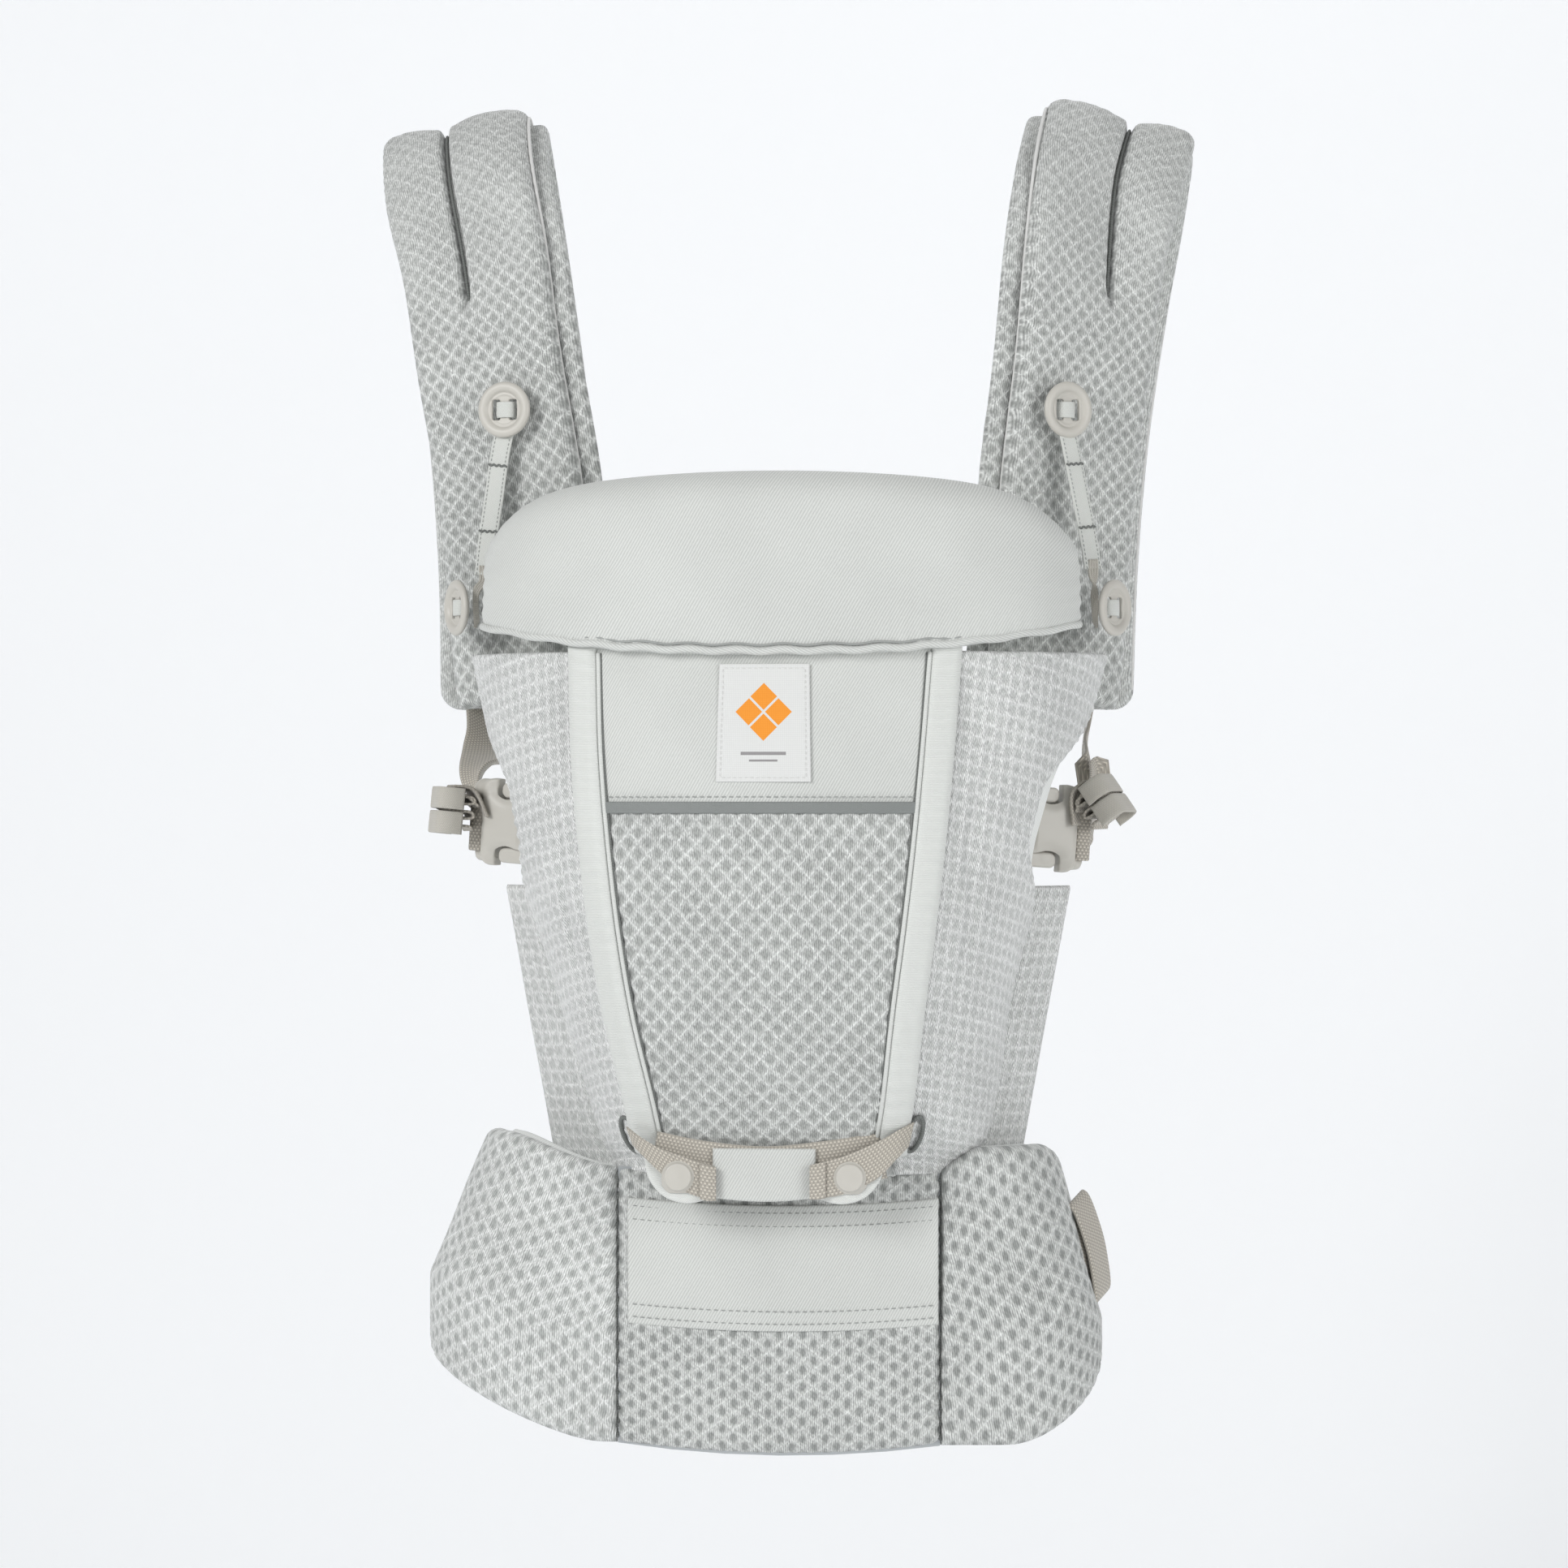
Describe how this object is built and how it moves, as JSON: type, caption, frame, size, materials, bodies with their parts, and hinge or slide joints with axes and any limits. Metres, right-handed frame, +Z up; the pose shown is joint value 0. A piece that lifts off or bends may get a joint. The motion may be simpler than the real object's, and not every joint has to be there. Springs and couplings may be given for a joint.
{
  "type": "soft baby carrier",
  "caption": "Soft structured baby carrier with padded waist belt, cupped seat panel, folding head support, shoulder straps and side-release buckles.",
  "frame": {"origin": "centre of the flat inner face of the belt's middle section, where the carrier lies on the wearer", "axes": "+Z up, +Y towards the wearer, +X to the right of someone looking at the front"},
  "size_m": [0.4392, 0.2997, 0.7166],
  "materials": {
    "air_mesh": "knitted spacer mesh with rows of dark openings",
    "cotton_twill": "fine diagonal cotton twill",
    "satin_binding": "ribbed satin binding tape",
    "webbing": "woven polyester webbing",
    "cotton_tape": "narrow cotton tape",
    "moulded_plastic": "moulded acetal, matte",
    "foam_core": "closed-cell foam",
    "reflective_tape": "reflective piping tape",
    "woven_label": null
  },
  "bodies": {
    "root": {"belt_center_lining": "cotton_twill", "belt_center_foam": "foam_core", "belt_center_cover": "air_mesh", "belt_band": "cotton_twill", "panel_mesh_center": "air_mesh", "panel_top_twill": "cotton_twill", "reflective_strip": "reflective_tape", "label": "woven_label", "side_panel_left": "air_mesh", "side_panel_right": "air_mesh", "binding_left": "satin_binding", "binding_right": "satin_binding", "panel_lining": "cotton_twill", "seat_wing_left": "air_mesh", "seat_wing_right": "air_mesh", "shoulder_pad_left": "air_mesh", "shoulder_pad_right": "air_mesh", "side_left_buckle_male": "moulded_plastic", "side_right_buckle_male": "moulded_plastic", "seat_tab_center": "cotton_twill", "snap_stud_left": "moulded_plastic", "snap_stud_right": "moulded_plastic", "side_webbing_left": "webbing", "side_webbing_right": "webbing"},
    "belt_wing_left": {"belt_wing_pad_left": "air_mesh", "belt_wing_lining_left": "cotton_twill", "waist_webbing_left": "webbing", "waist_buckle_female": "moulded_plastic"},
    "belt_wing_right": {"belt_wing_pad_right": "air_mesh", "belt_wing_lining_right": "cotton_twill", "waist_webbing_right": "webbing", "waist_buckle_male": "moulded_plastic", "waist_webbing_roll": "webbing"},
    "head_support": {"head_pillow": "cotton_twill", "pillow_tape_left": "cotton_tape", "pillow_tape_right": "cotton_tape"},
    "side_buckle_left": {"side_left_buckle_female": "moulded_plastic", "webbing_tail_left": "webbing"},
    "side_buckle_right": {"side_right_buckle_female": "moulded_plastic", "webbing_tail_right": "webbing"},
    "seat_tab_left": {"seat_tab_webbing_left": "webbing", "snap_cap_left": "moulded_plastic"},
    "seat_tab_right": {"seat_tab_webbing_right": "webbing", "snap_cap_right": "moulded_plastic"},
    "chest_strap": {"chest_webbing_left": "webbing", "chest_buckle_female": "moulded_plastic"},
    "chest_strap_right": {"chest_buckle_male": "moulded_plastic", "chest_webbing_right": "webbing"},
    "strap_button_left": {"strap_button_left": "moulded_plastic"},
    "strap_button_right": {"strap_button_right": "moulded_plastic"},
    "side_button_left": {"side_button_left": "moulded_plastic"},
    "side_button_right": {"side_button_right": "moulded_plastic"},
    "side_left_prong_upper": {"side_left_prong_upper": "moulded_plastic"},
    "side_left_prong_lower": {"side_left_prong_lower": "moulded_plastic"},
    "side_right_prong_upper": {"side_right_prong_upper": "moulded_plastic"},
    "side_right_prong_lower": {"side_right_prong_lower": "moulded_plastic"},
    "waist_prong_upper": {"waist_prong_upper": "moulded_plastic"},
    "waist_prong_lower": {"waist_prong_lower": "moulded_plastic"},
    "chest_prong_upper": {"chest_prong_upper": "moulded_plastic"},
    "chest_prong_lower": {"chest_prong_lower": "moulded_plastic"}
  },
  "joints": [
    {"name": "belt_wing_left_open", "type": "hinge", "parent": "root", "child": "belt_wing_left", "pos_m": [-0.088, -0.0222, 0], "axis": [0, 0, 1], "range_deg": [0, 60]},
    {"name": "belt_wing_right_open", "type": "hinge", "parent": "root", "child": "belt_wing_right", "pos_m": [0.082, -0.0222, 0], "axis": [0, 0, -1], "range_deg": [0, 60]},
    {"name": "head_support_fold", "type": "hinge", "parent": "root", "child": "head_support", "pos_m": [0, -0.101, 0.3445], "axis": [1, 0, 0], "range_deg": [0, 150]},
    {"name": "strap_button_left_turn", "type": "hinge", "parent": "root", "child": "strap_button_left", "pos_m": [-0.149, -0.003, 0.474], "axis": [-0.2756, -0.9613, 0], "range_deg": [-30, 30]},
    {"name": "strap_button_right_turn", "type": "hinge", "parent": "root", "child": "strap_button_right", "pos_m": [0.147, -0.006, 0.472], "axis": [0.5878, -0.809, 0], "range_deg": [-30, 30]},
    {"name": "side_button_left_turn", "type": "hinge", "parent": "root", "child": "side_button_left", "pos_m": [-0.172, -0.012, 0.369], "axis": [-0.866, -0.5, 0], "range_deg": [-30, 30]},
    {"name": "side_button_right_turn", "type": "hinge", "parent": "root", "child": "side_button_right", "pos_m": [0.171, -0.013, 0.368], "axis": [0.848, -0.5299, 0], "range_deg": [-30, 30]},
    {"name": "seat_tab_left_open", "type": "hinge", "parent": "root", "child": "seat_tab_left", "pos_m": [-0.075, -0.0554, 0.088], "axis": [0, 0, -1], "range_deg": [0, 75]},
    {"name": "seat_tab_right_open", "type": "hinge", "parent": "root", "child": "seat_tab_right", "pos_m": [0.063, -0.0554, 0.088], "axis": [0, 0, 1], "range_deg": [0, 75]},
    {"name": "side_buckle_left_release", "type": "slide", "parent": "root", "child": "side_buckle_left", "axis": [-0.9041, 0.4216, 0.0696], "range_m": [0, 0.028], "deforming": ["side_webbing_left"]},
    {"name": "side_buckle_right_release", "type": "slide", "parent": "root", "child": "side_buckle_right", "axis": [0.9041, 0.4216, -0.0696], "range_m": [0, 0.028], "deforming": ["side_webbing_right"]},
    {"name": "chest_strap_height", "type": "slide", "parent": "root", "child": "chest_strap", "axis": [0, 0, 1], "range_m": [-0.04, 0.04]},
    {"name": "chest_buckle_release", "type": "slide", "parent": "chest_strap", "child": "chest_strap_right", "axis": [1, 0, 0], "range_m": [0, 0.022]},
    {"name": "side_left_prong_upper_squeeze", "type": "hinge", "parent": "root", "child": "side_left_prong_upper", "pos_m": [-0.13535, 0.0197, 0.267], "axis": [-0.4226, -0.9063, 0], "range_deg": [0, 9], "stiffness_Nm_per_rad": 0.004},
    {"name": "side_left_prong_lower_squeeze", "type": "hinge", "parent": "root", "child": "side_left_prong_lower", "pos_m": [-0.13699, 0.02046, 0.24102], "axis": [0.4226, 0.9063, 0], "range_deg": [0, 9], "stiffness_Nm_per_rad": 0.004},
    {"name": "side_right_prong_upper_squeeze", "type": "hinge", "parent": "root", "child": "side_right_prong_upper", "pos_m": [0.12299, 0.02046, 0.26698], "axis": [-0.4226, 0.9063, 0], "range_deg": [0, 9], "stiffness_Nm_per_rad": 0.004},
    {"name": "side_right_prong_lower_squeeze", "type": "hinge", "parent": "root", "child": "side_right_prong_lower", "pos_m": [0.12135, 0.0197, 0.241], "axis": [0.4226, -0.9063, 0], "range_deg": [0, 9], "stiffness_Nm_per_rad": 0.004},
    {"name": "waist_prong_upper_squeeze", "type": "hinge", "parent": "belt_wing_right", "child": "waist_prong_upper", "pos_m": [0.00378, 0.19, 0.03768], "axis": [0, -1, 0], "range_deg": [0, 9], "stiffness_Nm_per_rad": 0.004},
    {"name": "waist_prong_lower_squeeze", "type": "hinge", "parent": "belt_wing_right", "child": "waist_prong_lower", "pos_m": [0.00378, 0.19, 0.00632], "axis": [0, 1, 0], "range_deg": [0, 9], "stiffness_Nm_per_rad": 0.004},
    {"name": "chest_prong_upper_squeeze", "type": "hinge", "parent": "chest_strap_right", "child": "chest_prong_upper", "pos_m": [0.00386, 0.169, 0.41408], "axis": [0, -1, 0], "range_deg": [0, 9], "stiffness_Nm_per_rad": 0.004},
    {"name": "chest_prong_lower_squeeze", "type": "hinge", "parent": "chest_strap_right", "child": "chest_prong_lower", "pos_m": [0.00386, 0.169, 0.39392], "axis": [0, 1, 0], "range_deg": [0, 9], "stiffness_Nm_per_rad": 0.004}
  ],
  "couplings": [
    {"joint": "belt_wing_right_open", "follows": "belt_wing_left_open", "ratio": 1},
    {"joint": "side_left_prong_lower_squeeze", "follows": "side_left_prong_upper_squeeze", "ratio": 1},
    {"joint": "side_right_prong_lower_squeeze", "follows": "side_right_prong_upper_squeeze", "ratio": 1},
    {"joint": "waist_prong_lower_squeeze", "follows": "waist_prong_upper_squeeze", "ratio": 1},
    {"joint": "chest_prong_lower_squeeze", "follows": "chest_prong_upper_squeeze", "ratio": 1}
  ]
}
